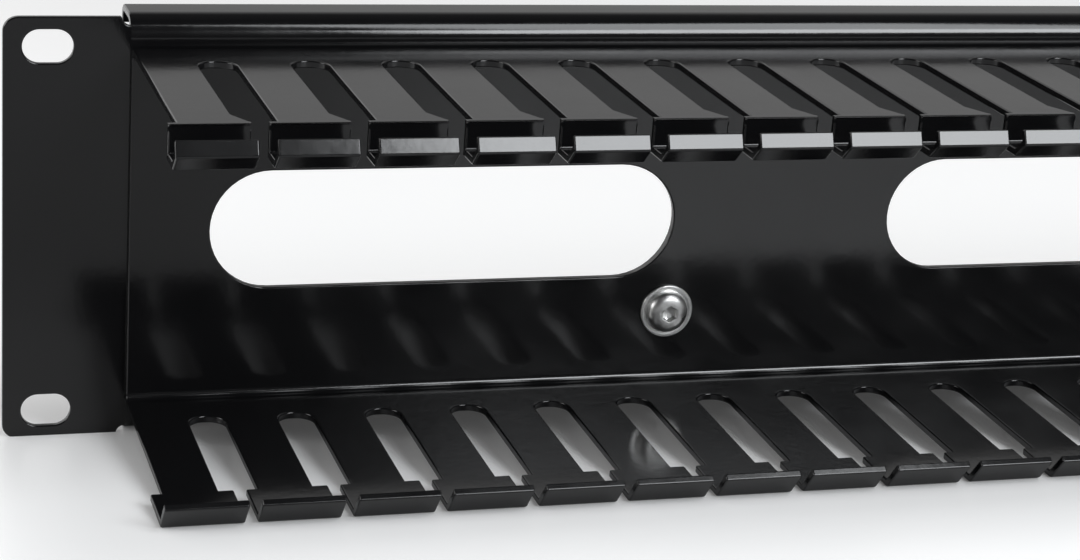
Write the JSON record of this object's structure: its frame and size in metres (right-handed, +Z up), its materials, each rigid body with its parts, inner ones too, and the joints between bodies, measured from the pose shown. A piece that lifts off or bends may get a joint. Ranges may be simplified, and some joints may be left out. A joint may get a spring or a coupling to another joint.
{
  "type": "horizontal cable manager",
  "caption": "Rack-mount horizontal cable manager: a folded flat panel with slotted ears, carrying an open-fronted finger duct with long rounded cable windows.",
  "frame": {"origin": "centre of the four rack slots, on the rear face of the ears", "axes": "+X to the right as seen from the front, +Y towards the rear of the rack, +Z up"},
  "size_m": [0.4826, 0.0813, 0.0882],
  "materials": {
    "powder_coat": "semi-gloss black powder coat on 1.5 mm steel sheet",
    "screw_steel": "bright zinc plating",
    "nut_steel": "bright zinc"
  },
  "bodies": {
    "root": {"panel": "powder_coat", "finger_duct": "powder_coat", "screw_left": "screw_steel", "screw_right": "screw_steel", "hex_nut_left": "nut_steel", "hex_nut_right": "nut_steel"}
  },
  "joints": []
}
